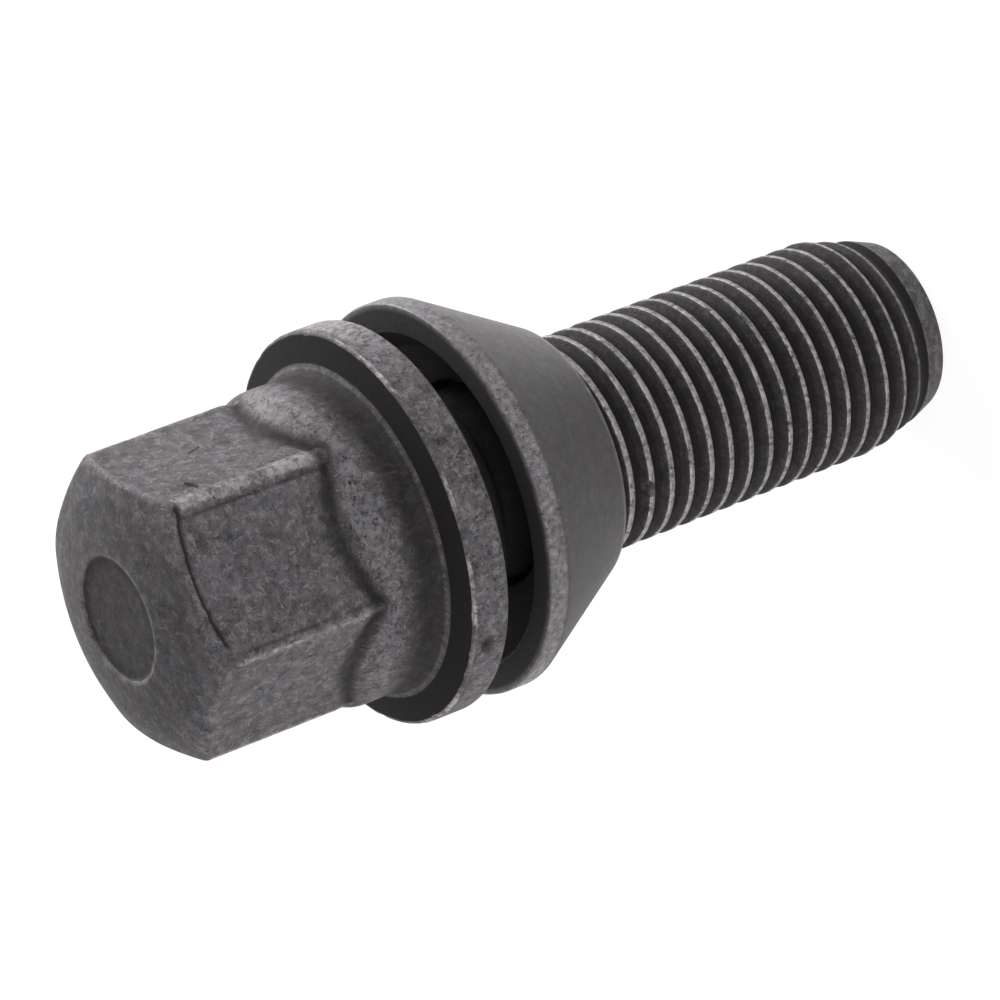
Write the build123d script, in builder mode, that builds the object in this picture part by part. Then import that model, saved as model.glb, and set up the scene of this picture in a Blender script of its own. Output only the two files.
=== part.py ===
"""Wheel bolt with a loose taper seat ring: M14 x 1.5 thread, 17 mm hexagon.

The bolt stands on the flat end of its pilot, head up. The origin is the centre of that flat,
+Z runs along the bolt's axis to the head, and two corners of the hexagon lie on the X axis.
All lengths are in millimetres and all angles in degrees.
"""
import os
from math import cos, radians, sin, sqrt, tan

from build123d import *

# Thread: M14 x 1.5, drawn as its plain envelope with the major diameter in the middle of tolerance 6g
thread_diameter = 13.85
thread_pitch = 1.5
thread_length = 21.7
flank_angle = 60.0
crest_width = thread_pitch / 8
root_width = thread_pitch / 4
lead_in_length = 2.75

# Pilot: the plain tip below the thread. It and the neck are a little thinner than the thread's root
root_clearance = 0.06
pilot_length = 1.75
pilot_taper_length = 1.55
pilot_end_diameter = 10.8
pilot_edge_chamfer = 0.2

# Ball seat that the flange and the ring share, and the room that the ring keeps at its two stops
seat_radius = 14.0
seat_angle = 99.2
seat_gap = 0.2
rest_gap = 0.2

# Seat ring: loose on the neck, with a 60 degree taper outside and the ball seat inside
ring_bore = 13.1
ring_wall = 1.7
ring_face_width = 1.72
ring_rim_width = 1.4
ring_taper = 60.0
ring_edge_chamfer = 0.22
ring_bore_chamfer = 0.3
ring_travel = 2.3

# Flange, and the cone between its ball seat and the neck
flange_seat_margin = 0.34
flange_lip = 1.36
flange_rim_thickness = 2.55
flange_face_angle = 14.0
flange_edge_chamfer = 0.32
neck_chamfer = 0.7

# Collar: the round part above the flange, with a shoulder that fades into the flats of the hexagon
collar_step = 0.12
collar_height = 4.06
collar_chamfer = 0.45
shoulder_angle = 38.0
shoulder_cove_radius = 1.2
shoulder_edge_chamfer = 0.24

# Hexagon, crown and the sunken disc on the crown
hex_width = 17.0
hex_height = 15.8
hex_corner_radius = 1.0
crown_radius = 24.0
crown_chamfer_angle = 38.0
crown_chamfer_margin = 0.1
disc_diameter = 8.0
disc_depth = 0.28
disc_wall_angle = 45.0

# Thread: its root is worked out from the pitch, and the neck and the pilot follow from the root
thread_radius = thread_diameter / 2
flank_width = (thread_pitch - crest_width - root_width) / 2
root_radius = thread_radius - flank_width / tan(radians(flank_angle / 2))
core_radius = root_radius - root_clearance
pilot_end_radius = pilot_end_diameter / 2

# Heights from the tip up to the ring, which rests with its bore's chamfer on the thread's run-out
thread_bottom = pilot_length + lead_in_length
thread_top = thread_bottom + thread_length
run_out_top = thread_top + thread_radius - core_radius
bore_radius = ring_bore / 2
ring_bottom = run_out_top - (bore_radius + ring_bore_chamfer - core_radius) + rest_gap

# Ring: the mouth of its ball seat sets the rim, and the bore and its wall set the small end
mouth_radius = seat_radius * sin(radians(seat_angle / 2))
ring_radius = mouth_radius + ring_face_width
small_end_radius = bore_radius + ring_wall
rim_bottom = ring_bottom + (ring_radius - small_end_radius) / tan(radians(ring_taper / 2))
ring_top = rim_bottom + ring_rim_width
ring_seat_center = ring_top + sqrt(seat_radius**2 - mouth_radius**2)
bore_top = ring_seat_center - sqrt(seat_radius**2 - bore_radius**2)

# Flange: the centre of its ball seat is where the ring's own comes to lie when the ring is raised
seat_center = ring_seat_center + ring_travel + seat_gap
seat_bottom = seat_center - sqrt(seat_radius**2 - core_radius**2)
flange_seat_radius = mouth_radius + flange_seat_margin
flange_bottom = seat_center - sqrt(seat_radius**2 - flange_seat_radius**2)
flange_top = flange_bottom + flange_rim_thickness
flat_radius = hex_width / 2
collar_radius = flat_radius / cos(radians(30)) + collar_step
flange_radius = max(flange_seat_radius, collar_radius + collar_chamfer) + flange_lip
collar_bottom = flange_top + (flange_radius - collar_radius) * tan(radians(flange_face_angle))

# Shoulder: a cone above the collar, and a cove that meets the flats tangentially
shoulder_turn = radians(shoulder_angle)
cone_tip_radius = flat_radius + shoulder_cove_radius * (1 - cos(shoulder_turn))
collar_top = flange_top + collar_height
cone_top = collar_top + (collar_radius - cone_tip_radius) / tan(shoulder_turn)
cove_top = cone_top + shoulder_cove_radius * sin(shoulder_turn)

# Crown: a dome that would meet the middle of each flat at the hexagon's height. A little before the
# flats it turns into a cone, which takes off the hexagon's corners
hex_top = flange_top + hex_height
crown_center = hex_top - sqrt(crown_radius**2 - flat_radius**2)
dome_edge_radius = flat_radius - crown_chamfer_margin
dome_edge = crown_center + sqrt(crown_radius**2 - dome_edge_radius**2)
crown_foot = dome_edge - (collar_radius - dome_edge_radius) * tan(radians(crown_chamfer_angle))
disc_radius = disc_diameter / 2
disc_rim = crown_center + sqrt(crown_radius**2 - disc_radius**2)
disc_floor_radius = disc_radius - disc_depth / tan(radians(disc_wall_angle))
disc_floor = disc_rim - disc_depth


def break_corner(corner, length):
    """Chamfers the corner of the sketch being drawn that lies at the given place."""
    chamfer(vertices().sort_by_distance(corner)[0], length)


# Bolt: one forging with a rolled thread
with BuildPart() as bolt:
    # Hexagon, cut to the crown with its dome, its sunken disc and its cone
    with BuildSketch(Plane.XY.offset(flange_bottom)):
        RegularPolygon(radius=flat_radius, side_count=6, major_radius=False)
        fillet(vertices(), hex_corner_radius)
    extrude(amount=hex_top - flange_bottom + crown_radius)
    with BuildSketch(Plane.XZ):
        with BuildLine():
            Polyline(
                (disc_radius, disc_rim),
                (disc_floor_radius, disc_floor),
                (0, disc_floor),
                (0, flange_bottom),
                (collar_radius, flange_bottom),
                (collar_radius, crown_foot),
                (dome_edge_radius, dome_edge),
            )
            RadiusArc((dome_edge_radius, dome_edge), (disc_radius, disc_rim), -crown_radius)
        make_face()
    revolve(axis=Axis.Z, mode=Mode.INTERSECT)

    # Pilot, thread, neck, ball seat, flange, collar and shoulder in one half section
    with BuildSketch(Plane.XZ):
        with BuildLine():
            Polyline(
                (flat_radius, cove_top),
                (0, cove_top),
                (0, 0),
                (pilot_end_radius, 0),
                (core_radius, pilot_taper_length),
                (core_radius, pilot_length),
                (thread_radius, thread_bottom),
                (thread_radius, thread_top),
                (core_radius, run_out_top),
                (core_radius, seat_bottom),
            )
            RadiusArc((core_radius, seat_bottom), (flange_seat_radius, flange_bottom), -seat_radius)
            Polyline(
                (flange_seat_radius, flange_bottom),
                (flange_radius, flange_bottom),
                (flange_radius, flange_top),
                (collar_radius, collar_bottom),
                (collar_radius, collar_top),
                (cone_tip_radius, cone_top),
            )
            RadiusArc((cone_tip_radius, cone_top), (flat_radius, cove_top), shoulder_cove_radius)
        make_face()
        break_corner((pilot_end_radius, 0), pilot_edge_chamfer)
        break_corner((core_radius, seat_bottom), neck_chamfer)
        break_corner((flange_radius, flange_bottom), flange_edge_chamfer)
        break_corner((flange_radius, flange_top), flange_edge_chamfer)
        break_corner((collar_radius, collar_bottom), collar_chamfer)
        break_corner((collar_radius, collar_top), shoulder_edge_chamfer)
    revolve(axis=Axis.Z)

bolt.part.label = "bolt"

# Seat ring: turned, with the taper outside and the ball seat above the bore
with BuildPart() as seat_ring:
    with BuildSketch(Plane.XZ):
        with BuildLine():
            RadiusArc((mouth_radius, ring_top), (bore_radius, bore_top), seat_radius)
            Polyline(
                (bore_radius, bore_top),
                (bore_radius, ring_bottom + ring_bore_chamfer),
                (bore_radius + ring_bore_chamfer, ring_bottom),
                (small_end_radius, ring_bottom),
                (ring_radius, rim_bottom),
                (ring_radius, ring_top),
                (mouth_radius, ring_top),
            )
        make_face()
        break_corner((bore_radius, bore_top), ring_edge_chamfer)
        break_corner((small_end_radius, ring_bottom), ring_edge_chamfer)
        break_corner((ring_radius, rim_bottom), ring_edge_chamfer)
        break_corner((ring_radius, ring_top), ring_edge_chamfer)
    revolve(axis=Axis.Z)

seat_ring.part.label = "seat_ring"

os.makedirs("parts", exist_ok=True)
for piece in (bolt, seat_ring):
    export_step(piece.part, f"parts/{piece.part.label}.step")
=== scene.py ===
# %% [markdown]
# # A black wheel bolt with a loose seat ring
#
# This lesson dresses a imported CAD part. The solids give the sizes and the motion: `bolt` is one forging,
# and `seat_ring` slides on its neck. Blender adds what the solids leave plain: the rolled thread, the
# soft forged edges, and the black phosphate coat with its wear.
#
# Everything is in metres and in the frame of the solids, so a piece needs no fitting. The bolt stands on
# its pilot with the head up, +X points at a corner of the hexagon, and -Y points at the camera. Lengths
# are written in millimetres, as on a drawing, and each finished mesh is scaled once.

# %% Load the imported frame
import math

import bmesh
import bpy
from mathutils import Matrix, Vector, noise


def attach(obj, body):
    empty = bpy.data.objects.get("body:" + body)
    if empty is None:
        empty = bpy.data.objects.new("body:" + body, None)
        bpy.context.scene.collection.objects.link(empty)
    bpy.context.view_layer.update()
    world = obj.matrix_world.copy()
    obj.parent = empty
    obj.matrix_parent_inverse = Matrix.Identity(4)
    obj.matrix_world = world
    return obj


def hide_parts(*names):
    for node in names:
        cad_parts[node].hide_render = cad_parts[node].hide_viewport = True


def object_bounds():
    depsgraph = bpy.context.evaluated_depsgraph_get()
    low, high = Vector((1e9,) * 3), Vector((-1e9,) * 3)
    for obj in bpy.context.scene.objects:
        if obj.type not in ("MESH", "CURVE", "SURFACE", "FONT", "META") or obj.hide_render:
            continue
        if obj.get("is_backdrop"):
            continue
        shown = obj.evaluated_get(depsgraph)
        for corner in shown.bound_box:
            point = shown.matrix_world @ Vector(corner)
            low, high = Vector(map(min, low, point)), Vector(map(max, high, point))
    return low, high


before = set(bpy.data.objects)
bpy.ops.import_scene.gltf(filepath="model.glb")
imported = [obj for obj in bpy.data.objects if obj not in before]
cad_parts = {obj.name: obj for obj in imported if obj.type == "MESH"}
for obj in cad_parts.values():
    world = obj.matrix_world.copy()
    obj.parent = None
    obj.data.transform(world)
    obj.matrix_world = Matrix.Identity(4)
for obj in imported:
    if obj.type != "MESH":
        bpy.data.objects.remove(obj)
cad_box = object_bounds()
MM = 0.001
box_in_mm = [[round(c / MM, 2) for c in end] for end in cad_box]
print("nodes:", sorted(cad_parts), "box in mm:", box_in_mm)

# %% [markdown]
# ## The camera
#
# The bolt lies in the picture with its head to the lower left, and it stands in the frame. So the camera
# is rolled instead of the bolt. Its place came from the outlines of the hexagon, the flange and the
# thread. A matrix says it without any Euler angles: its columns are the camera's right, its up and its
# back. The long lens keeps the flanks of the bolt nearly parallel, as a product picture does.

# %% Camera
camera_place = Vector((-1.46, -364.8, 236.8)) * MM
camera_right = Vector((-0.3566, -0.4599, -0.8133))
camera_up = Vector((0.9343, -0.1755, -0.3104))
camera_back = Vector((0.0, -0.8706, 0.4922))

camera_data = bpy.data.cameras.new("product_camera")
camera_data.lens = 249.9
camera_data.sensor_width = 36.0
camera_data.clip_start = 0.01
camera_data.clip_end = 20.0
camera = bpy.data.objects.new("product_camera", camera_data)
camera_turn = Matrix((camera_right, camera_up, camera_back)).transposed()
camera.matrix_world = Matrix.Translation(camera_place) @ camera_turn.to_4x4()
bpy.context.scene.collection.objects.link(camera)
bpy.context.scene.camera = camera
print("camera", [round(c, 4) for c in camera.location], "lens", camera_data.lens)

# %% [markdown]
# ## The sizes
#
# These are the drawing's sizes, the same as in the solids but for the crown's cone, which is a little
# flatter. The blank is turned first and shaped after, so the list runs along the axis from the pilot to
# the crown. The crown is a dome that turns into a cone a little before the flats, and the cone takes off
# the hexagon's corners.

# %% Sizes, in millimetres
CORE_R = 6.053
ROOT_R = 6.09
THREAD_R = 6.925
PITCH = 1.5
PILOT_R = 5.4
PILOT_TAPER_TOP = 1.55
THREAD_START = 1.75
THREAD_FULL = 4.5
RUN_OUT_START = 26.2
RUN_OUT_END = 27.072

SEAT_R = 14.0
FLANGE_SEAT_CENTRE = 46.606
FLANGE_SEAT_R = 11.0
FLANGE_R = 12.36
FLANGE_BOTTOM = 37.946
FLANGE_TOP = 40.496
COLLAR_R = 9.935
COLLAR_BOTTOM = 41.1
COLLAR_TOP = 44.556
SHOULDER_TURN = math.radians(38)
FLAT_R = 8.5
COVE_R = 1.2
COVE_TOP = 46.808
HEX_CORNER_R = 1.0
HEX_TOP = 56.296
CROWN_R = 24.0
DOME_EDGE_R = 8.4
CROWN_SLOPE = math.tan(math.radians(33))
CROWN_BLEND = 0.25
DISC_R = 4.0
DISC_DEPTH = 0.28
CROWN_CENTRE = HEX_TOP - math.sqrt(CROWN_R**2 - FLAT_R**2)


def soft_max(first, second, blend):
    """The larger of two numbers, with a soft change from one to the other."""
    near = max(blend - abs(first - second), 0.0) / blend if blend else 0.0
    return max(first, second) + near * near * blend / 4


def crown_height(radius, cone_radius=None):
    """Height of the crown at a distance from the axis: the dome, or the cone outside it."""
    dome = CROWN_CENTRE + math.sqrt(CROWN_R**2 - radius**2)
    dome_edge = CROWN_CENTRE + math.sqrt(CROWN_R**2 - DOME_EDGE_R**2)
    cone = dome_edge - ((cone_radius or radius) - DOME_EDGE_R) * CROWN_SLOPE
    return -soft_max(-dome, -cone, CROWN_BLEND)


crown_heights = [round(crown_height(radius), 3) for radius in (DISC_R, FLAT_R)]
print("crown at the rim of the disc and at the flats:", crown_heights, "mm")

# %% [markdown]
# ## Turning a section
#
# A lathe part is a half section that is turned about its axis. The section is a few corners, with a face
# to each one, and one vertex is the pen that draws it. Spin moves the pen and leaves a row of edges
# behind: a step each time gives a straight face, and a turn about a centre gives an arc, for a ball seat
# or for the rounding of a corner. A rounded edge catches light as the real one does, and short rows let
# wear fade out beside it.
#
# Two numbers ride along on every vertex. `rubbed` says how far tumbling and handling have greyed the
# black coat, and `worn` says where steel shows. Spin copies them to each new vertex, so painting the
# section paints the whole part. A corner has one such pair for its rounding and one for the face that
# leads to it.

# %% Helpers for a turned section
ROW_LENGTH = 0.36
FINE_ROW = 0.12
MERGE_GAP = 0.002
FLAT_TURN = (0, -1, 0)
BLACK = (0.0, 0.0)
FEWEST_STEPS = 3


def start_mesh():
    """An empty mesh with the two layers that the finish reads."""
    bm = bmesh.new()
    bm.verts.layers.float.new("rubbed")
    bm.verts.layers.float.new("worn")
    return bm


def paint(bm, vert, rubbed, worn):
    """Writes both finish numbers on a vertex."""
    vert[bm.verts.layers.float["rubbed"]] = rubbed
    vert[bm.verts.layers.float["worn"]] = worn


def finish_of(bm, vert):
    """Reads both finish numbers of a vertex."""
    return vert[bm.verts.layers.float["rubbed"]], vert[bm.verts.layers.float["worn"]]


def corner(radius, height, rounding=0.0, face=BLACK, edge=BLACK, about=None, row=ROW_LENGTH):
    """One corner of a section, with the finish of its rounding and of the face that leads to it."""
    place = Vector((radius, 0, height))
    return {"place": place, "rounding": rounding, "face": face, "edge": edge, "about": about, "row": row}


def rise_angle(arm):
    """Angle of a spoke in the plane of the section."""
    return math.atan2(arm.z, arm.x)


def heading(start, spec, at):
    """Direction of the face from a place to a corner, at one of its two ends."""
    if spec["about"] is None:
        return (spec["place"] - start).normalized()
    centre = Vector((0, 0, spec["about"]))
    way = math.copysign(1, rise_angle(spec["place"] - centre) - rise_angle(start - centre))
    arm = (at - centre).normalized()
    return Vector((-arm.z, 0, arm.x)) * way


def move_pen(bm, pen, finish, steps, centre=(0, 0, 0), turn=0.0, rise=(0, 0, 0)):
    """Draws one painted row with the pen, which keeps its own paint, and gives the row's last vertex."""
    kept = finish_of(bm, pen)
    paint(bm, pen, *finish)
    made = bmesh.ops.spin(bm, geom=[pen], cent=centre, axis=FLAT_TURN, angle=turn, dvec=rise, steps=steps)
    paint(bm, pen, *kept)
    return made["geom_last"][0]


def draw_face(bm, pen, spec, end):
    """Draws a face of the section, straight or about a centre on the axis."""
    if spec["about"] is None:
        steps = math.ceil((end - pen.co).length / spec["row"])
        return move_pen(bm, pen, spec["face"], steps, rise=(end - pen.co) / steps)
    centre = Vector((0, 0, spec["about"]))
    turn = rise_angle(end - centre) - rise_angle(pen.co - centre)
    steps = math.ceil(abs(turn) * (end - centre).length / spec["row"])
    return move_pen(bm, pen, spec["face"], steps, centre, turn)


def draw_section(bm, specs, closed=False):
    """Draws a half section through all its corners. A closed one starts at a corner without a rounding."""
    first = bm.verts.new(specs[0]["place"])
    pen = first
    for index in range(1, len(specs) + closed):
        spec = specs[index % len(specs)]
        radius = spec["rounding"]
        ahead = heading(specs[index - 1]["place"], spec, spec["place"])
        if not radius:
            pen = draw_face(bm, pen, spec, spec["place"])
            continue
        after = heading(spec["place"], specs[(index + 1) % len(specs)], spec["place"])
        turn = math.atan2(ahead.x * after.z - ahead.z * after.x, ahead.dot(after))
        pen = draw_face(bm, pen, spec, spec["place"] - ahead * radius * math.tan(abs(turn) / 2))
        centre = pen.co + Vector((-ahead.z, 0, ahead.x)) * math.copysign(radius, turn)
        steps = max(FEWEST_STEPS, math.ceil(radius * abs(turn) / spec["row"]))
        pen = move_pen(bm, pen, spec["edge"], steps, centre, turn)
    if closed:
        bmesh.ops.weld_verts(bm, targetmap={pen: first})


def everything(bm):
    """All parts of a mesh, as the operators want them."""
    return list(bm.verts) + list(bm.edges) + list(bm.faces)


def turn_section(bm, steps):
    """Turns what is drawn once round the axis: first a sixth in small steps, then copies of that sixth."""
    sixth = math.tau / 6
    bmesh.ops.spin(bm, geom=everything(bm), axis=(0, 0, 1), angle=sixth, steps=steps // 6)
    bmesh.ops.spin(bm, geom=everything(bm), axis=(0, 0, 1), angle=sixth * 5, steps=5, use_duplicate=True)
    bmesh.ops.remove_doubles(bm, verts=bm.verts, dist=MERGE_GAP)


print("section helpers ready, rows of at most", ROW_LENGTH, "mm")

# %% [markdown]
# ## Neck, flange, collar and head
#
# The upper part of the bolt starts as a lathe blank: neck, ball seat, flange, collar, a shoulder that
# runs out in a cove, a plain side that is as wide as the hexagon across its flats, and the crown with its
# sunken disc. The flange's face and the seat lie sheltered, so their coat is still black. The cove is dark
# too, partly for its unrubbed coat and partly as painted shade. The rim, the ridge above the collar and the
# edge of the crown are what other bolts hit in the bin, so they are the palest; the rim and the ridge are
# also painted paler toward the lamps that light them, as painted light.

# %% Blank of the upper part
TURN_STEPS = 306
HIDDEN_ROW = 0.8
SEAM_ZONE = 0.75
FOOT_COVE_R = 0.8
STRETCH_R = DOME_EDGE_R - 0.9
DISC_LIP_R = DISC_R + 0.5
NECK_BOTTOM = RUN_OUT_END + 0.18
seat_bottom = FLANGE_SEAT_CENTRE - math.sqrt(SEAT_R**2 - CORE_R**2)
cove_corner = COVE_TOP - COVE_R * math.tan(SHOULDER_TURN / 2)
wall_top = crown_height(FLAT_R)
disc_rim = crown_height(DISC_R)
disc_floor = disc_rim - DISC_DEPTH

bolt_mesh = start_mesh()
draw_section(bolt_mesh, [
    corner(CORE_R, NECK_BOTTOM),
    corner(CORE_R, seat_bottom, rounding=0.5, face=(0.06, 0.0), edge=(0.06, 0.0), row=HIDDEN_ROW),
    corner(FLANGE_SEAT_R, FLANGE_BOTTOM, face=(0.06, 0.0), about=FLANGE_SEAT_CENTRE, row=HIDDEN_ROW),
    corner(FLANGE_R, FLANGE_BOTTOM, rounding=0.4, edge=(0.55, 0.2)),
    corner(FLANGE_R, FLANGE_TOP, rounding=0.26, face=(0.55, 0.16), edge=(0.8, 0.65), row=0.2),
    corner(COLLAR_R, COLLAR_BOTTOM, rounding=FOOT_COVE_R, row=0.08),
    corner(COLLAR_R, COLLAR_TOP, rounding=0.7, row=0.2),
    corner(FLAT_R, cove_corner, rounding=COVE_R, row=FINE_ROW),
    corner(FLAT_R, wall_top - SEAM_ZONE, row=0.3),
    corner(FLAT_R, wall_top, rounding=0.42, face=(0.47, 0.0), edge=(0.55, 0.06), row=0.07),
    corner(STRETCH_R, crown_height(STRETCH_R), face=(0.45, 0.0), about=CROWN_CENTRE, row=0.07),
    corner(DISC_LIP_R, crown_height(DISC_LIP_R), face=(0.33, 0.0), about=CROWN_CENTRE),
    corner(
        DISC_R, disc_rim, rounding=0.38, face=(0.38, 0.0), edge=(0.72, 0.1), about=CROWN_CENTRE,
        row=FINE_ROW,
    ),
    corner(DISC_R - DISC_DEPTH, disc_floor, rounding=0.34, face=(0.3, 0.0), edge=(0.13, 0.0)),
    corner(0, disc_floor, face=(0.2, 0.0), row=HIDDEN_ROW),
])
print("section of the upper part:", len(bolt_mesh.verts), "points")
turn_section(bolt_mesh, TURN_STEPS)
print("upper blank:", len(bolt_mesh.verts), "vertices")

# %% [markdown]
# ## Wear and painted light on the flange's rim
#
# The rim isn't worn evenly, and light is painted on it as well. Its face is painted palest on the side
# toward the upper lamp, as painted light, less so near its upper edge. Its upper edge is pale in stretches
# of wear on the other sides, and fewer stretches are spared on the lit side, also painted light. It has
# small chips. A few lines over the vertices do all this: the angle says how much painted light the rim
# gets, and noise decides where the stretches and the chips are. The rim's painted light and `EDGE_SPARED`
# give what is added and taken off, first of `rubbed` and then of `worn`.

# %% Wear the rim
LIT_SIDE_ANGLE = math.radians(5)
RIM_DEPTH = 0.3
EDGE_BAND = 0.45
EDGE_KEPT = 1.6
RIM_PAINTED_LIGHT = (0.42, 0.5)
EDGE_SPARED = (0.25, 0.55)
SPARED_SHARE = 0.55
SPARED_LIGHT_LEAN = 0.3
SPARED_CONTRAST = 2.2
SPARED_WAVES = 0.45
CHIP_DEPTH = 0.12
CHIP_WAVES = 1.3
CHIP_FROM = 0.1


def share_of(value):
    """A number kept between 0 and 1."""
    return min(1.0, max(0.0, value))


def off_axis(place):
    """Distance of a place from the axis."""
    return math.hypot(place.x, place.y)


def toward_lit_side(place):
    """1 on the side toward the upper lamp, where light is painted, and less with the angle from there, down
    to 0.
    """
    return max(0.0, math.cos(math.atan2(place.y, place.x) - LIT_SIDE_ANGLE))


def wear_and_light_rim(bm, vert):
    """Greys one point of the rim with wear and painted light, and chips it near the upper edge."""
    radius = off_axis(vert.co)
    near_edge = max(0.0, 1 - (FLANGE_TOP - vert.co.z) / EDGE_BAND)
    # Painted light: paler toward the lamp-lit side, less so near the upper edge and a little darker right at
    # it; fewer edge stretches are spared on that side.
    rim_light = toward_lit_side(vert.co) ** 3 * (1 - EDGE_KEPT * near_edge)
    spared = SPARED_SHARE - SPARED_LIGHT_LEAN * vert.co.x / FLANGE_R
    spared = near_edge * share_of(spared - SPARED_CONTRAST * noise.noise(vert.co * SPARED_WAVES))
    rubbed, worn = finish_of(bm, vert)
    rubbed += RIM_PAINTED_LIGHT[0] * rim_light - EDGE_SPARED[0] * spared
    worn += RIM_PAINTED_LIGHT[1] * rim_light - EDGE_SPARED[1] * spared
    paint(bm, vert, rubbed, worn)
    chip = CHIP_DEPTH * near_edge * max(0.0, noise.noise(vert.co * CHIP_WAVES) - CHIP_FROM)
    vert.co.x *= 1 - chip / radius
    vert.co.y *= 1 - chip / radius


for vert in bolt_mesh.verts:
    if off_axis(vert.co) > FLANGE_R - RIM_DEPTH and vert.co.z > FLANGE_BOTTOM:
        wear_and_light_rim(bolt_mesh, vert)
print("rim worn, chips of up to", CHIP_DEPTH, "mm")

# %% [markdown]
# ## Pressing the hexagon
#
# A forging die turns the round blank into a hexagon. The blank's side is as wide as the hexagon across
# its flats, so the corners are pulled out from it. `hexagon_reach` gives the hexagon's edge in any
# direction, with round corners. The side takes that reach, and where the shoulder already stands further
# out it stays, with a small valley between the two. The crown's outer rows stretch with the side, and
# every point of them stays on the crown. A boolean would give the same shape with a torn mesh; here the
# rows follow the crown's edge all the way round.
#
# Where a corner of the hexagon meets the shoulder, the die leaves a groove round the corner's foot,
# deeper at one corner than at another.

# %% Shape of the hexagon
HALF_SIDE = math.radians(30)
SIXTH = 2 * HALF_SIDE
GROOVE_WIDTH = 0.5
GROOVE_RISE = 0.35


def hexagon_reach(off_flat):
    """Distance from the axis to the rounded hexagon, at an angle from the middle of a flat."""
    corner_centre = (FLAT_R - HEX_CORNER_R) / math.cos(HALF_SIDE)
    flat_end = math.atan((FLAT_R - HEX_CORNER_R) * math.tan(HALF_SIDE) / FLAT_R)
    if abs(off_flat) <= flat_end:
        return FLAT_R / math.cos(off_flat)
    off_corner = HALF_SIDE - abs(off_flat)
    sideways = corner_centre * math.sin(off_corner)
    return corner_centre * math.cos(off_corner) + math.sqrt(HEX_CORNER_R**2 - sideways**2)


def foot_groove(meeting, toward_corner, height):
    """Depth of the groove round the foot of the hexagon's corners, as a share."""
    past_middle = height - meeting - GROOVE_RISE * toward_corner
    return toward_corner**2 * math.exp(-((past_middle / GROOVE_WIDTH) ** 2))


print("hexagon across corners:", round(2 * hexagon_reach(HALF_SIDE), 2), "mm")

# %% [markdown]
# ## Wear and painted light on the side
#
# The wear of the side follows the pressed shape, so it is painted while the die presses, by the helpers
# of this step. The collar and the valley are dark, partly for their unrubbed coat and partly as painted
# shade. A thin pale line at the collar's foot is a painted highlight. The ridge and the wall are greyed by
# wear, with a soft change, and the ridge is painted paler toward the upper and the front lamp, as painted
# light. Each corner of the hexagon has had another life, so each has its own pale band, from so many
# degrees on its one side to so many on the other, and two have a dark seam beside the band. The groove at
# each corner's foot is darkened as painted shade. Under the crown's edge, the die left a wavy dark seam on
# the front flat alone, with a pale lip above it.

# %% Wear of the collar, the ridge and the wall
# The dark base is partly unrubbed coat and partly painted shade, the foot's grey is a painted highlight, and
# the ridge's lean paints it paler toward the lamp-lit side, as painted light.
SHELTERED_AND_SHADED = 0.09
FOOT_HIGHLIGHT = 0.26
FOOT_FADE = (0.1, -0.04)
RIDGE_GREY = 0.52
RIDGE_WORN = 0.17
RIDGE_LIGHT_LEAN = 0.18
RIDGE_START = (1.2, 0.1)
RIDGE_END = (0.15, 0.9)
VALLEY_RISE = 0.3
WALL_GREY = 0.43
WALL_START = (0.1, 1.5)


def soft_step(value, low, high):
    """A soft step from 0 at low to 1 at high."""
    share = share_of((value - low) / (high - low))
    return share * share * (3 - 2 * share)


def paint_side_wear_and_light(bm, vert, meeting, toward_corner):
    """Paints collar, ridge, valley and wall, with wear, painted shade, a painted highlight and painted
    light.
    """
    height = vert.co.z
    # Painted highlight: a thin pale line at the collar's foot.
    foot = soft_step(height, COLLAR_BOTTOM + FOOT_FADE[0], COLLAR_BOTTOM + FOOT_FADE[1])
    valley = meeting + VALLEY_RISE * toward_corner**2
    ridge = soft_step(height, COLLAR_BOTTOM + RIDGE_START[0], COLLAR_TOP + RIDGE_START[1])
    ridge *= soft_step(height, valley - RIDGE_END[0], valley - RIDGE_END[1])
    # Painted light: the ridge is paler toward the upper and the front lamp.
    ridge *= 1 + RIDGE_LIGHT_LEAN * (vert.co.x - vert.co.y) / COLLAR_R
    wall = soft_step(height, valley - WALL_START[0], valley + WALL_START[1] - toward_corner)
    # The dark base is partly unrubbed coat and partly painted shade.
    rubbed = SHELTERED_AND_SHADED + max(FOOT_HIGHLIGHT * foot, RIDGE_GREY * ridge, WALL_GREY * wall)
    paint(bm, vert, rubbed, RIDGE_WORN * ridge**2)


print("greys: foot", FOOT_HIGHLIGHT, "ridge", RIDGE_GREY, "wall", WALL_GREY)

# %% Wear of the corners
NO_SEAM = 90.0
CORNER_BANDS = (
    (-3.0, 3.0, NO_SEAM),
    (-2.0, 3.5, NO_SEAM),
    (-4.0, 2.5, NO_SEAM),
    (-3.0, 3.5, NO_SEAM),
    (-3.2, 0.6, 2.2),
    (-3.2, 4.6, -4.6),
)
BAND_FADE = 1.3
PALE_GREY = 0.95
PALE_WORN = 0.6
PALE_CLOUD = (0.85, 0.5, 0.6)
DARK_CLOUD = (0.8, 0.5, 0.8)
SEAM_DARK = 0.8
GROOVE_PAINTED_SHADE = 0.8


def clouded(place, middle, swing, waves):
    """An amount that varies over the surface by noise of so many waves a millimetre."""
    return middle + swing * noise.noise(place * waves)


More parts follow.
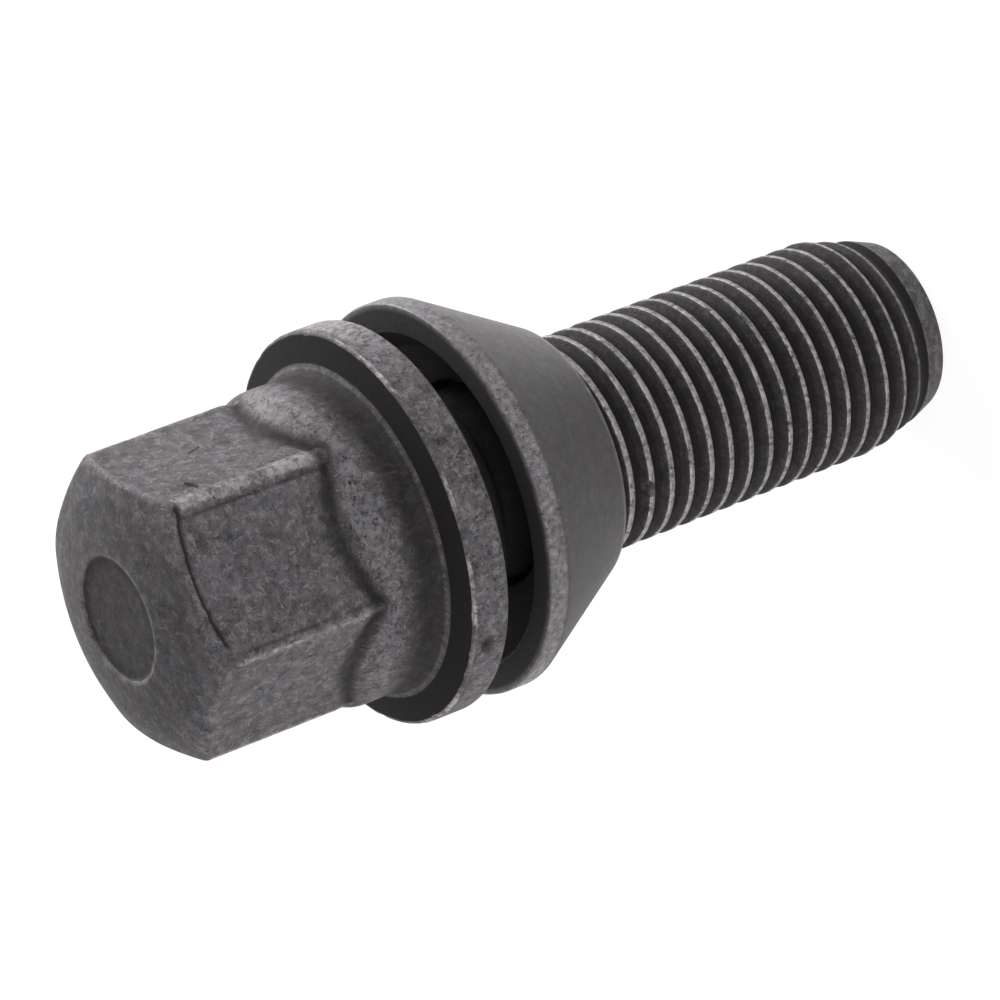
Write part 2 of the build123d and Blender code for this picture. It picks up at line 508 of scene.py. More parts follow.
def wear_and_shade_corner(bm, vert, angle, depth):
    """Paints the pale band and the dark seam of the nearest corner, and darkens the groove at its foot as
    painted shade.
    """
    nearest = round(angle / SIXTH)
    beside = math.degrees(angle - nearest * SIXTH)
    low, high, seam = CORNER_BANDS[nearest % 6]
    pale = share_of(min(beside - low, high - beside) / BAND_FADE) * clouded(vert.co, *PALE_CLOUD)
    dark = share_of(1 - abs(beside - seam) / BAND_FADE) * clouded(vert.co, *DARK_CLOUD)
    rubbed, worn = finish_of(bm, vert)
    # The groove at the corner's foot is darkened here as painted shade.
    rubbed = (rubbed + pale * (PALE_GREY - rubbed)) * (1 - SEAM_DARK * dark) * (1 - GROOVE_PAINTED_SHADE * depth)
    paint(bm, vert, rubbed, max(worn, PALE_WORN * pale) * (1 - depth))


print("corners with a seam:", sum(seam != NO_SEAM for low, high, seam in CORNER_BANDS))

# %% Seam under the crown's edge
SEAM_SPAN = (math.radians(-117), math.radians(-58.5))
SEAM_FADES = (0.06, 0.03)
SEAM_SWAYS = ((0.08, 14, 0), (0.04, 45, 5))
SEAM_FULL = 1.3
SEAM_DROP = 0.1
SEAM_HALF = 0.24
SEAM_DEPTH = 0.08
SEAM_BLACK = 0.95
LIP_OFF = 0.45
LIP_GREY = 0.24
LIP_WORN = 0.25


def front_seam(angle, past_edge):
    """Strength of the wavy seam at the crown's edge on the front flat, and of the pale lip above it."""
    low, high = SEAM_SPAN
    sway = sum(size * noise.noise((angle * waves, row, 0)) for size, waves, row in SEAM_SWAYS)
    span = soft_step(angle, low, low + SEAM_FADES[0]) * soft_step(angle, high, high - SEAM_FADES[1])
    off_seam = past_edge - SEAM_DROP - sway
    seam = share_of(SEAM_FULL - SEAM_FULL * abs(off_seam) / SEAM_HALF)
    lip = share_of(1 - abs(off_seam + LIP_OFF) / LIP_OFF)
    return seam * span, lip * span


print("seam of up to", SEAM_DEPTH, "mm")

# %% Press the hexagon
VALLEY = 0.12
GROOVES = (0.25, 0.3, 0.25, 0.06, 0.34, 0.36)
CROWN_SHIFT = 0.25
CROWN_ROOM = 1.0
DIE_WAVE = 0.02
DIE_WAVES = 0.35
PRESS_BOTTOM = COLLAR_BOTTOM - 0.15
PRESS_INSIDE = DISC_R + 0.55


def press_point(bm, vert):
    """Moves one point of the blank out to the hexagon, and paints it."""
    angle = math.atan2(vert.co.y, vert.co.x)
    radius = off_axis(vert.co)
    height = vert.co.z
    off_flat = angle % SIXTH - HALF_SIDE
    toward_corner = abs(off_flat) / HALF_SIDE
    reach = hexagon_reach(off_flat)
    meeting = COLLAR_TOP + (COLLAR_R - reach) / math.tan(SHOULDER_TURN)
    if radius > FLAT_R - MERGE_GAP:
        depth = foot_groove(meeting, toward_corner, height)
        groove = GROOVES[round(angle / SIXTH) % 6]
        new_radius = soft_max(radius, reach, VALLEY * toward_corner) - groove * depth
        if height < wall_top - SEAM_ZONE + MERGE_GAP:
            paint_side_wear_and_light(bm, vert, meeting, toward_corner)
        if reach > radius:
            wear_and_shade_corner(bm, vert, angle, depth)
    else:
        stretched = max(radius, STRETCH_R) - STRETCH_R
        new_radius = radius + (reach - FLAT_R) * stretched / (FLAT_R - STRETCH_R)
    seam, lip = front_seam(angle, wall_top - height - FLAT_R + radius)
    if radius > STRETCH_R and seam + lip > 0:
        new_radius -= SEAM_DEPTH * seam
        rubbed = (finish_of(bm, vert)[0] + LIP_GREY * lip) * (1 - SEAM_BLACK * seam)
        paint(bm, vert, rubbed, LIP_WORN * lip * (1 - seam))
    place = Vector((new_radius * math.cos(angle), new_radius * math.sin(angle), height))
    share = share_of((height - COVE_TOP) / (wall_top - CROWN_ROOM - COVE_TOP))
    cone_radius = math.hypot(place.x - CROWN_SHIFT, place.y)
    place.z += share * (crown_height(new_radius, cone_radius) - crown_height(radius))
    wave = DIE_WAVE * noise.noise(vert.co * DIE_WAVES)
    vert.co = place + wave * Vector((math.cos(angle), math.sin(angle), 0))


above = [vert for vert in bolt_mesh.verts if vert.co.z > PRESS_BOTTOM]
pressed = [vert for vert in above if off_axis(vert.co) > PRESS_INSIDE]
for vert in pressed:
    press_point(bolt_mesh, vert)
print("points pressed:", len(pressed))

# %% [markdown]
# ## Rolling the thread
#
# A thread is one pitch of its section, screwed up the axis. Spin does that when it also gets a step along
# the axis, `dvec`. One turn is screwed in small steps, and the other turns are copies of it, a pitch
# further up. The ends of neighbouring turns meet in the groove, so merging doubles joins them into one
# sheet. The crest is a narrow pale line, a little uneven from rolling, and it gets wider toward the head.
# The blank has a cone at the lead-in and at the run-out, and on a cone the rolls raise less steel: there
# the whole ridge sinks evenly, and its crest stays narrow. Two cuts then leave clean round ends, which
# are bridged to the pilot and to the neck.

# %% Sizes and helpers of the thread
THREAD_STEPS = 120
TURNS = 20
THREAD_ROW = 0.3
CREST_AT_X = 0.055
CREST_SHADE = 0.07
FLANK_SHADE = 0.45
FLANK_SLOPE = math.tan(math.radians(30))
crest_half = 0.14
root_half = 0.12
shade_half = crest_half + CREST_SHADE * FLANK_SLOPE
flank_half = crest_half + FLANK_SHADE * FLANK_SLOPE


def ridge_share(height):
    """Share of the thread's full depth that the lead-in and the run-out leave at a height."""
    lead_in = (height - THREAD_START) / (THREAD_FULL - THREAD_START)
    run_out = (RUN_OUT_END - height) / (RUN_OUT_END - RUN_OUT_START)
    return share_of(min(lead_in, run_out))


def off_crest(place):
    """Distance along the axis from the middle of the nearest crest."""
    turn = math.atan2(place.y, place.x) / math.tau
    return ((place.z - CREST_AT_X) / PITCH - turn + 0.5) % 1 * PITCH - PITCH / 2


print("thread:", TURNS, "turns, crests about", 2 * crest_half, "mm wide")

# %% Screw the thread
middle = CREST_AT_X - PITCH
thread = start_mesh()
# The section paints both flanks darker toward the roots, down to near black, as painted shade in the
# grooves; the pale crest is wear.
draw_section(thread, [
    corner(ROOT_R, middle - PITCH / 2),
    corner(ROOT_R, middle - PITCH / 2 + root_half, rounding=0.12, row=THREAD_ROW),
    corner(THREAD_R - CREST_SHADE, middle - shade_half, face=(0.08, 0.0), row=THREAD_ROW),
    corner(THREAD_R, middle - crest_half, face=(0.85, 0.5), row=THREAD_ROW),
    corner(THREAD_R, middle + crest_half, face=(0.9, 0.65), row=THREAD_ROW),
    corner(THREAD_R - CREST_SHADE, middle + shade_half, face=(0.2, 0.0), row=THREAD_ROW),
    corner(THREAD_R - FLANK_SHADE, middle + flank_half, face=(0.12, 0.0), row=THREAD_ROW),
    corner(ROOT_R, middle + PITCH / 2 - root_half, rounding=0.12, face=(0.05, 0.0), row=THREAD_ROW),
    corner(ROOT_R, middle + PITCH / 2, row=THREAD_ROW),
])
bmesh.ops.spin(
    thread, geom=everything(thread), axis=(0, 0, 1), angle=math.tau, steps=THREAD_STEPS,
    dvec=(0, 0, PITCH / THREAD_STEPS),
)
bmesh.ops.spin(
    thread, geom=everything(thread), axis=(0, 0, 1), angle=0, steps=TURNS - 1, dvec=(0, 0, PITCH),
    use_duplicate=True,
)
bmesh.ops.remove_doubles(thread, verts=thread.verts, dist=MERGE_GAP)
print("thread screwed:", len(thread.verts), "vertices")

# %% Lead-in, run-out and uneven crests
CREST_WAVE = 0.025
CREST_WAVES = 1.5
CREST_SPREAD = (0.75, 1.25)
GREY_FROM = 0.5
LOWER_CUT = THREAD_START - 0.06
UPPER_CUT = RUN_OUT_END + 0.06
for vert in thread.verts:
    radius = off_axis(vert.co)
    crest = max(0.0, (radius - THREAD_R) / CREST_SHADE + 1)
    rolled = radius - CREST_WAVE * crest * (1 + noise.noise(vert.co * CREST_WAVES))
    share = ridge_share(vert.co.z)
    if share < GREY_FROM:
        fade = share / GREY_FROM
        paint(thread, vert, *(fade * amount for amount in finish_of(thread, vert)))
    scale = (CORE_R + (rolled - CORE_R) * share) / radius
    vert.co.x *= scale
    vert.co.y *= scale
    aside = off_crest(vert.co)
    if abs(aside) < shade_half + MERGE_GAP:
        narrow, wide = CREST_SPREAD
        vert.co.z += aside * (narrow + (wide - narrow) * share_of(vert.co.z / RUN_OUT_START) - 1)
for height, side in ((LOWER_CUT, -1), (UPPER_CUT, 1)):
    bmesh.ops.bisect_plane(
        thread, geom=everything(thread), plane_co=(0, 0, height), plane_no=(0, 0, side), clear_outer=True
    )
print("thread:", len(thread.verts), "vertices")

# %% [markdown]
# ## Pilot, and one closed bolt
#
# The pilot is the plain tip that finds the hole, one more small turned section. Three sheets now end in
# open circles of the same radius: pilot, thread and neck. `bridge_loops` fills the narrow gaps between
# them, although the circles have different counts of points, and the bolt is then one closed skin.

# %% Pilot and bridges
PILOT_STEPS = 120
PILOT_FULLER = 0.08
PILOT_TOP = THREAD_START - 0.12
BRIDGE_ROOM = 0.04
pilot = start_mesh()
draw_section(pilot, [
    corner(0, 0),
    corner(PILOT_R + PILOT_FULLER, 0, rounding=0.16, face=(0.3, 0.0), edge=(0.5, 0.1), row=0.5),
    corner(CORE_R, PILOT_TAPER_TOP, rounding=0.2, face=(0.48, 0.05), edge=(0.7, 0.25)),
    corner(CORE_R, PILOT_TOP, face=(0.1, 0.0)),
])
turn_section(pilot, PILOT_STEPS)


def add_mesh(target, source):
    """Moves everything from one mesh into another, by way of a mesh in the file."""
    carrier = bpy.data.meshes.new("carrier")
    source.to_mesh(carrier)
    source.free()
    target.from_mesh(carrier)
    bpy.data.meshes.remove(carrier)


def open_rim(bm, low, high):
    """Open edges between two heights."""
    return [edge for edge in bm.edges if edge.is_boundary and low < edge.verts[0].co.z < high]


def count_open(bm):
    """How many edges of a mesh are open."""
    return sum(edge.is_boundary for edge in bm.edges)


add_mesh(bolt_mesh, thread)
add_mesh(bolt_mesh, pilot)
for low, high in ((PILOT_TOP, LOWER_CUT), (UPPER_CUT, NECK_BOTTOM)):
    bmesh.ops.bridge_loops(bolt_mesh, edges=open_rim(bolt_mesh, low - BRIDGE_ROOM, high + BRIDGE_ROOM))
bmesh.ops.remove_doubles(bolt_mesh, verts=bolt_mesh.verts, dist=MERGE_GAP)
bmesh.ops.recalc_face_normals(bolt_mesh, faces=bolt_mesh.faces)
print("bolt:", len(bolt_mesh.faces), "faces, open edges:", count_open(bolt_mesh))

# %% [markdown]
# ## Nicks
#
# A bolt that went through bins and barrels has nicks. Each one is a small dent towards the axis, painted
# black in its middle and grey towards its edge. One is on the pale corner of the hexagon, one on the
# flange's rim, three are on crests of the thread, the deepest among them, and two are on the side that
# faces away. A row of the list gives a nick's place, its size and its depth.

# %% Dent the nicks
NICK_BLUNT = 0.7
NICK_GREY = 0.3
NICKS = [
    (Vector((5.75, -7.04, 53.43)), 0.4, 0.06),
    (Vector((-9.16, -8.30, 39.49)), 0.6, 0.18),
    (Vector((-3.99, -5.66, 23.81)), 0.5, 0.35),
    (Vector((4.94, -4.86, 15.31)), 0.35, 0.15),
    (Vector((3.64, -5.89, 13.55)), 0.35, 0.12),
    (Vector((7.4, 5.6, 52.2)), 0.6, 0.15),
    (Vector((-11.2, 5.2, 39.9)), 0.7, 0.2),
]
for vert in bolt_mesh.verts:
    for place, size, depth in NICKS:
        share = max(0.0, 1 - (vert.co - place).length / size)
        if share:
            inward = 1 - depth * share**NICK_BLUNT / off_axis(vert.co)
            vert.co = (vert.co.x * inward, vert.co.y * inward, vert.co.z)
            paint(bolt_mesh, vert, NICK_GREY * (1 - share), 0.0)
print("nicks:", len(NICKS))

# %% [markdown]
# ## Seat ring
#
# The ring is a plain turned part: a ball seat inside, a bore with a chamfer that rests on the thread's
# run-out, and the 60 degree taper outside. Its section is closed, so its turned skin is closed too. The
# taper and the seat are machined faces, even and satin, while the rim is as scuffed as the flange's. The
# taper is painted palest on the same side as the flange's rim, toward the upper lamp, as painted light.

# %% Turn the seat ring
MOUTH_R = 10.661
RING_TOP = 35.031
RING_R = 12.38
RIM_BOTTOM = 33.631
SMALL_END_R = 8.25
RING_BOTTOM = 26.475
BORE_R = 6.55
BORE_TOP = 31.73
BORE_CHAMFER = 0.3
RING_STEPS = 288
TAPER_END = RIM_BOTTOM + 0.1
TAPER_GREY = 0.85
TAPER_PAINTED_LIGHT = 2.8
RING_SEAT_CENTRE = RING_TOP + math.sqrt(SEAT_R**2 - MOUTH_R**2)

ring_mesh = start_mesh()
draw_section(ring_mesh, [
    corner(BORE_R, RING_BOTTOM + BORE_CHAMFER, face=(0.1, 0.0)),
    corner(BORE_R + BORE_CHAMFER, RING_BOTTOM, face=(0.2, 0.0)),
    corner(SMALL_END_R, RING_BOTTOM, rounding=0.22, face=(0.3, 0.0), edge=(0.7, 0.1)),
    corner(RING_R, RIM_BOTTOM, rounding=0.28, face=(0.25, 0.0), edge=(0.32, 0.05)),
    corner(RING_R, RING_TOP, rounding=0.16, face=(0.66, 0.35), edge=(0.5, 0.25), row=0.2),
    corner(MOUTH_R, RING_TOP, rounding=0.08, edge=(0.6, 0.4)),
    corner(BORE_R, BORE_TOP, rounding=0.2, face=(0.06, 0.0), edge=(0.12, 0.0), about=RING_SEAT_CENTRE),
], closed=True)
turn_section(ring_mesh, RING_STEPS)
# Painted light: the taper is made paler toward the side the upper lamp lights.
for vert in ring_mesh.verts:
    if vert.co.z < TAPER_END:
        rubbed, worn = finish_of(ring_mesh, vert)
        rubbed *= TAPER_GREY + TAPER_PAINTED_LIGHT * toward_lit_side(vert.co) ** 2
        paint(ring_mesh, vert, rubbed, worn)
bmesh.ops.recalc_face_normals(ring_mesh, faces=ring_mesh.faces)
print("ring:", len(ring_mesh.faces), "faces, open edges:", count_open(ring_mesh))

# %% [markdown]
# ## Finished objects
#
# Both skins go from millimetres to metres and become objects at the origin. Each one replaces its solid
# and rides on the same body. Smooth shading with sharp edges kept above an angle leaves the thread's
# grooves crisp.

# %% Make the two objects
SHARP = math.radians(50)


def finish_piece(name, bm, body):
    """Scales a mesh to metres and makes it an object that stands for a solid of the frame."""
    bmesh.ops.scale(bm, vec=(MM, MM, MM), verts=bm.verts)
    mesh = bpy.data.meshes.new(name)
    bm.to_mesh(mesh)
    bm.free()
    mesh.shade_smooth()
    mesh.set_sharp_from_angle(angle=SHARP)
    piece = bpy.data.objects.new(name, mesh)
    bpy.context.scene.collection.objects.link(piece)
    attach(piece, body)
    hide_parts(body)
    print(name, "has", sum(len(face.vertices) - 2 for face in mesh.polygons), "triangles")
    return piece


wheel_bolt = finish_piece("wheel_bolt", bolt_mesh, "bolt")
taper_ring = finish_piece("taper_ring", ring_mesh, "seat_ring")

# %% [markdown]
# ## Building finishes from nodes
#
# A finish is a small program of nodes. These helpers add a node, fill or link its inputs, and give back
# what it puts out, so that a finish below reads like a recipe.

# %% Helpers for nodes
def put(tree, kind, inputs, **settings):
    """Adds a node, sets it, and fills or links its inputs."""
    node = tree.nodes.new(kind)
    for name, value in settings.items():
        setattr(node, name, value)
    for name, value in inputs.items():
        if isinstance(value, bpy.types.NodeSocket):
            tree.links.new(value, node.inputs[name])
        else:
            node.inputs[name].default_value = value
    return node


def calc(tree, operation, first, second=0.0, third=0.0, clamp=False):
    """One sum, product or other calculation."""
    inputs = {0: first, 1: second, 2: third}
    return put(tree, "ShaderNodeMath", inputs, operation=operation, use_clamp=clamp).outputs[0]


def vector_calc(tree, operation, first, second, output="Vector"):
    """One calculation with vectors."""
    return put(tree, "ShaderNodeVectorMath", {0: first, 1: second}, operation=operation).outputs[output]


def band(tree, value, low, high):
    """A soft step from 0 at low to 1 at high."""
    inputs = {"Value": value, "From Min": low, "From Max": high}
    return put(tree, "ShaderNodeMapRange", inputs, interpolation_type="SMOOTHSTEP").outputs[0]


def blend(tree, share, first, second):
    """A mix of two colours."""
    inputs = {0: share, 6: first, 7: second}
    return put(tree, "ShaderNodeMix", inputs, data_type="RGBA").outputs[2]


def cloud(tree, place, scale, detail=2.0, roughness=0.5, distortion=0.0):
    """Noise of so many waves a millimetre."""
    inputs = {"Vector": place, "Scale": scale, "Detail": detail}
    inputs |= {"Roughness": roughness, "Distortion": distortion}
    return put(tree, "ShaderNodeTexNoise", inputs).outputs[0]


def start_group(name, inputs, outputs):
    """A new node group with its sockets; gives the group, its inputs and its output node."""
    group = bpy.data.node_groups.new(name, "ShaderNodeTree")
    for title, kind in inputs.items():
        group.interface.new_socket(title, in_out="INPUT", socket_type=kind)
    for title in outputs:
        group.interface.new_socket(title, in_out="OUTPUT", socket_type="NodeSocketFloat")
    entry = group.nodes.new("NodeGroupInput").outputs
    leave = group.nodes.new("NodeGroupOutput").inputs
    return group, entry, leave


def use_group(tree, group, inputs):
    """Places a group in a finish and gives its outputs."""
    return put(tree, "ShaderNodeGroup", inputs, node_tree=group).outputs


print("node helpers ready")

# %% [markdown]
# ## Three shared effects
#
# The phosphate is a crust of fine crystals, and it is never even. It has soft clouds of a few
# millimetres, a fine grain, short pale strokes where parts rubbed on each other, and short dark cracks. A
# stroke or a crack is a place where a twisted noise passes its middle value, which draws thin lines that
# wander, and a second noise breaks them up. Edges wear through in ragged patches. A scratch is all that
# lies near a line from one place to another. Each of these is a group, because it is used more than once,
# with other amounts.

# %% Crust, worn patches and scratches
VECTOR = "NodeSocketVector"
NUMBER = "NodeSocketFloat"


def crooked_lines(tree, place, scale, width):
    """Short thin lines: where a twisted noise is near its middle value, broken up by another noise."""
    twisted = cloud(tree, place, scale, 5, 0.68, 1.6)
    middle_gap = calc(tree, "ABSOLUTE", calc(tree, "SUBTRACT", twisted, 0.5))
    broken = band(tree, cloud(tree, place, scale * 1.5, 3), 0.48, 0.58)
    return calc(tree, "MULTIPLY", band(tree, middle_gap, width, width * 0.25), broken)


crust, entry, leave = start_group(
    "phosphate_crust", {"Place": VECTOR}, ["Tint", "Mottle", "Stroke", "Crack", "Grain"]
)
place = entry["Place"]
mottle = calc(crust, "MULTIPLY_ADD", cloud(crust, place, 1.1, 9, 0.76), 5.0, -2.5)
grain = calc(crust, "MULTIPLY_ADD", cloud(crust, place, 6.0, 3, 0.65), 2.0, -1.0)
crust.links.new(band(crust, cloud(crust, place, 0.5, 3, 0.6), 0.35, 0.65), leave["Tint"])
crust.links.new(mottle, leave["Mottle"])
crust.links.new(crooked_lines(crust, place, 1.1, 0.05), leave["Stroke"])
crust.links.new(crooked_lines(crust, place, 2.3, 0.045), leave["Crack"])
crust.links.new(grain, leave["Grain"])

patches, entry, leave = start_group("worn_patches", {"Place": VECTOR, "Amount": NUMBER}, ["Patch"])
ragged = calc(patches, "MULTIPLY_ADD", cloud(patches, entry["Place"], 2.6, 5, 0.72), 5.0, -1.5)
ragged_amount = calc(patches, "MULTIPLY", ragged, entry["Amount"])
patches.links.new(band(patches, ragged_amount, 0.25, 0.85), leave["Patch"])

scratch, entry, leave = start_group(
    "scratch", {"Place": VECTOR, "From": VECTOR, "To": VECTOR, "Width": NUMBER}, ["Mark"]
)
arm = vector_calc(scratch, "SUBTRACT", entry["Place"], entry["From"])
line = vector_calc(scratch, "SUBTRACT", entry["To"], entry["From"])
along = calc(
    scratch, "DIVIDE", vector_calc(scratch, "DOT_PRODUCT", arm, line, "Value"),
    vector_calc(scratch, "DOT_PRODUCT", line, line, "Value"), clamp=True,
)
nearest = put(scratch, "ShaderNodeVectorMath", {0: line, "Scale": along}, operation="SCALE").outputs[0]
off = calc(scratch, "DIVIDE", vector_calc(scratch, "DISTANCE", arm, nearest, "Value"), entry["Width"])
uneven = calc(scratch, "MULTIPLY_ADD", cloud(scratch, entry["Place"], 3.0, 3, 0.7), 0.6, -0.3)
ragged_off = calc(scratch, "ADD", off, uneven)
scratch.links.new(band(scratch, ragged_off, 1.0, 0.35), leave["Mark"])
print("groups:", [group.name for group in (crust, patches, scratch)])

# %% [markdown]
# ## The black coat
#
# One recipe serves both pieces. `rubbed` goes from the black of a sheltered face to the grey of a handled
# one, and clouds, grain, strokes and cracks shift it. They shift a black face less than a grey one, and a
# worn edge the most. Steel shows through where `worn` is high, in ragged patches, smoother and brighter
# than the coat. The coat leans to brown in some clouds and to blue in others. Grain and cracks go to the
# bump too, so the gloss breaks up as it does on crystals. `texture` says how strong all that is: the
# ring's machined faces are much more even. Rubbing also burnishes the crystals, so a sheltered black face
# is duller than a rubbed one.

# %% Coat finish
COAT_BLACK = (0.0125, 0.0110, 0.0108, 1)
GREY_WARM = (0.196, 0.171, 0.176, 1)
GREY_COOL = (0.180, 0.173, 0.190, 1)
STEEL = (0.31, 0.285, 0.294, 1)
FULL_GREY = 0.92
MOTTLE_SHIFT = 0.65
GRAIN_SHIFT = 0.6
WORN_SHIFT = 0.4
CRACK_SHIFT = -0.8
CRACKS_WORN = 2.0
CRACKS_RUBBED = 0.2
BUMP_STRENGTH = 0.6
BUMP_DEPTH = 0.03
PATCH_METAL = 0.6
PATCH_POLISH = 0.1
BURNISH_GAIN = 3.0
DULL_EXTRA = 0.25


def coat(name, texture, roughness, gloss, marks):
    """The phosphate coat with its rubbed and worn places. A mark has two ends, a width and a strength."""
    material = bpy.data.materials.new(name)
    material.use_nodes = True
    tree = material.node_tree
    shader = tree.nodes["Principled BSDF"]
    own = put(tree, "ShaderNodeTexCoord", {}).outputs["Object"]
    place = vector_calc(tree, "MULTIPLY", own, (1 / MM, 1 / MM, 1 / MM))
    rubbed = put(tree, "ShaderNodeAttribute", {}, attribute_name="rubbed").outputs["Fac"]
    worn = put(tree, "ShaderNodeAttribute", {}, attribute_name="worn").outputs["Fac"]
    crystals = use_group(tree, crust, {"Place": place})
    patch = use_group(tree, patches, {"Place": place, "Amount": worn})["Patch"]
    shift = calc(tree, "MULTIPLY", crystals["Mottle"], MOTTLE_SHIFT)
    shift = calc(tree, "MULTIPLY_ADD", crystals["Grain"], GRAIN_SHIFT, shift)
    shift = calc(tree, "ADD", crystals["Stroke"], shift)
    amount = calc(tree, "MULTIPLY_ADD", rubbed, texture, calc(tree, "MULTIPLY", worn, WORN_SHIFT))
    grey = calc(tree, "MULTIPLY_ADD", shift, amount, calc(tree, "MULTIPLY", rubbed, FULL_GREY))
    cracked = calc(tree, "MULTIPLY", rubbed, CRACKS_RUBBED * texture)
    cracked = calc(tree, "MULTIPLY_ADD", worn, CRACKS_WORN, cracked, clamp=True)
    cracked = calc(tree, "MULTIPLY", crystals["Crack"], cracked)
    grey = calc(tree, "MULTIPLY_ADD", cracked, CRACK_SHIFT, grey)
    for start, end, width, strength in marks:
        mark = use_group(tree, scratch, {"Place": place, "From": start, "To": end, "Width": width})["Mark"]
        grey = calc(tree, "MULTIPLY_ADD", mark, strength, grey)
    grey = calc(tree, "MAXIMUM", grey, 0.0)
    tint = blend(tree, crystals["Tint"], GREY_WARM, GREY_COOL)
    colour = blend(tree, patch, blend(tree, grey, COAT_BLACK, tint), STEEL)
    height = calc(tree, "SUBTRACT", crystals["Grain"], crystals["Crack"])
    inputs = {"Height": height, "Strength": BUMP_STRENGTH * texture, "Distance": BUMP_DEPTH * MM}
    tree.links.new(colour, shader.inputs["Base Color"])
    tree.links.new(calc(tree, "MULTIPLY", patch, PATCH_METAL), shader.inputs["Metallic"])
    burnish = calc(tree, "MULTIPLY", rubbed, BURNISH_GAIN, clamp=True)
    rough = calc(tree, "MULTIPLY_ADD", burnish, -DULL_EXTRA, roughness + DULL_EXTRA)
    rough = calc(tree, "MULTIPLY_ADD", patch, -PATCH_POLISH, rough)
    tree.links.new(rough, shader.inputs["Roughness"])
    tree.links.new(put(tree, "ShaderNodeBump", inputs).outputs[0], shader.inputs["Normal"])
    shader.inputs["Specular IOR Level"].default_value = gloss
    return material


BOLT_MARKS = [
    ((2.64, -9.58, 43.62), (2.60, -9.59, 43.50), 0.3, 0.35),
    ((2.44, -9.63, 43.24), (2.23, -9.68, 41.87), 0.14, 0.12),
    ((-0.93, 3.66, 57.24), (-1.70, 0.90, 57.24), 0.09, 0.1),
    ((-1.20, 2.90, 57.24), (-2.60, -0.40, 57.24), 0.07, 0.08),
    ((7.55, -3.92, 51.16), (7.72, -3.63, 50.24), 0.1, -0.7),
    ((5.90, -6.78, 53.46), (5.52, -7.45, 53.28), 0.2, -1.4),
    ((-0.60, -5.12, 56.90), (-0.20, -5.40, 56.85), 0.5, -0.3),
]
bolt_coat = coat("bolt_phosphate", texture=1.0, roughness=0.54, gloss=0.12, marks=BOLT_MARKS)
ring_coat = coat("ring_phosphate", texture=0.5, roughness=0.46, gloss=0.36, marks=[])
wheel_bolt.data.materials.append(bolt_coat)
taper_ring.data.materials.append(ring_coat)
print("finishes:", bolt_coat.name, ring_coat.name)

# %% [markdown]
# ## Floor, world and lamps
#
# A product picture of a black part is taken in a white tent. The floor and the world are white to the
# camera and in reflections, and much less bright as light, so that a colour renders about as it is
# written. The floor keeps part of its own shading, and with it the shadow at the pilot. The strongest
# lamp stands on the side that is up in the picture. Three weaker ones, below, in front and behind, keep
# the other sides from going black.

# %% Floor
def sees_white(tree):
    """1 for camera, glossy and transmission rays."""
    path = put(tree, "ShaderNodeLightPath", {}).outputs
    seen = calc(tree, "MAXIMUM", path["Is Camera Ray"], path["Is Glossy Ray"])
    return calc(tree, "MAXIMUM", seen, path["Is Transmission Ray"])


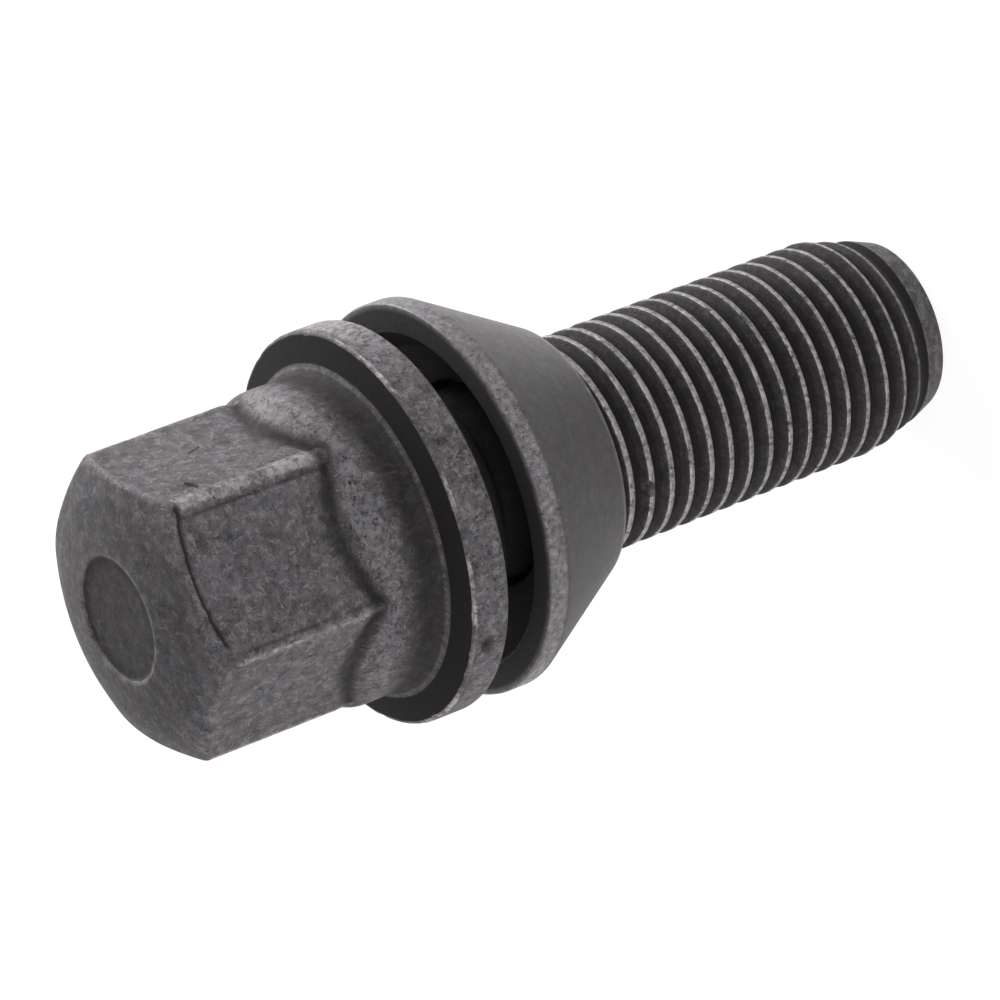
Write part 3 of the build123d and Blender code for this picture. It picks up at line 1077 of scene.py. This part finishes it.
floor_mesh = bmesh.new()
bmesh.ops.create_grid(floor_mesh, x_segments=1, y_segments=1, size=4.0)
bmesh.ops.translate(floor_mesh, vec=(0, 0, -0.02 * MM), verts=floor_mesh.verts)
floor_data = bpy.data.meshes.new("tent_floor")
floor_mesh.to_mesh(floor_data)
floor_mesh.free()
tent_floor = bpy.data.objects.new("tent_floor", floor_data)
bpy.context.scene.collection.objects.link(tent_floor)
tent_floor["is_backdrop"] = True

paper = bpy.data.materials.new("white_paper")
paper.use_nodes = True
tree = paper.node_tree
tree.nodes.remove(tree.nodes["Principled BSDF"])
dull = put(tree, "ShaderNodeBsdfDiffuse", {"Color": (0.8, 0.8, 0.8, 1)}).outputs[0]
shade = put(tree, "ShaderNodeBsdfDiffuse", {"Color": (0.2, 0.2, 0.2, 1)}).outputs[0]
glow = put(tree, "ShaderNodeEmission", {"Color": (1, 1, 1, 1), "Strength": 0.88}).outputs[0]
lit = put(tree, "ShaderNodeAddShader", {0: shade, 1: glow}).outputs[0]
both = put(tree, "ShaderNodeMixShader", {0: sees_white(tree), 1: dull, 2: lit}).outputs[0]
tree.links.new(both, tree.nodes["Material Output"].inputs["Surface"])
floor_data.materials.append(paper)
print("floor", [round(c, 3) for c in tent_floor.dimensions])

# %% World and lamps
TENT_LIGHT = 0.32
world = bpy.data.worlds.new("white_tent")
world.use_nodes = True
tree = world.node_tree
strength = calc(tree, "MULTIPLY_ADD", sees_white(tree), 1 - TENT_LIGHT, TENT_LIGHT)
tree.nodes["Background"].inputs["Color"].default_value = (1, 1, 1, 1)
tree.links.new(strength, tree.nodes["Background"].inputs["Strength"])
bpy.context.scene.world = world
bpy.context.scene.view_settings.view_transform = "Standard"


def lamp(name, place, size, watts):
    """A soft square lamp that points at the middle of the bolt."""
    data = bpy.data.lights.new(name, "AREA")
    data.size = size
    data.energy = watts
    light = bpy.data.objects.new(name, data)
    aim = Vector((0, 0, 0.03)) - Vector(place)
    light.matrix_world = Matrix.Translation(place) @ aim.to_track_quat("-Z", "Y").to_matrix().to_4x4()
    bpy.context.scene.collection.objects.link(light)
    return light


lamps = [
    lamp("upper_lamp", (0.44, 0.24, 0.04), 0.50, 7.6),
    lamp("lower_lamp", (-0.50, -0.05, 0.10), 0.45, 1.7),
    lamp("front_lamp", (0.10, -0.53, 0.18), 0.45, 1.4),
    lamp("back_lamp", (-0.45, 0.35, 0.30), 0.25, 0.5),
]
print("lamps:", [(light.name, light.data.energy) for light in lamps])

# %% [markdown]
# ## Sizes, and the end
#
# Both boxes, of the solids and of the dressed pieces, are printed in millimetres.

# %% Print the boxes
boxes = {"cad": [list(corner) for corner in cad_box], "visual": [list(corner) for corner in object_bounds()]}
for name, box in boxes.items():
    print(name, "box in mm:", [[round(c / MM, 3) for c in end] for end in box])
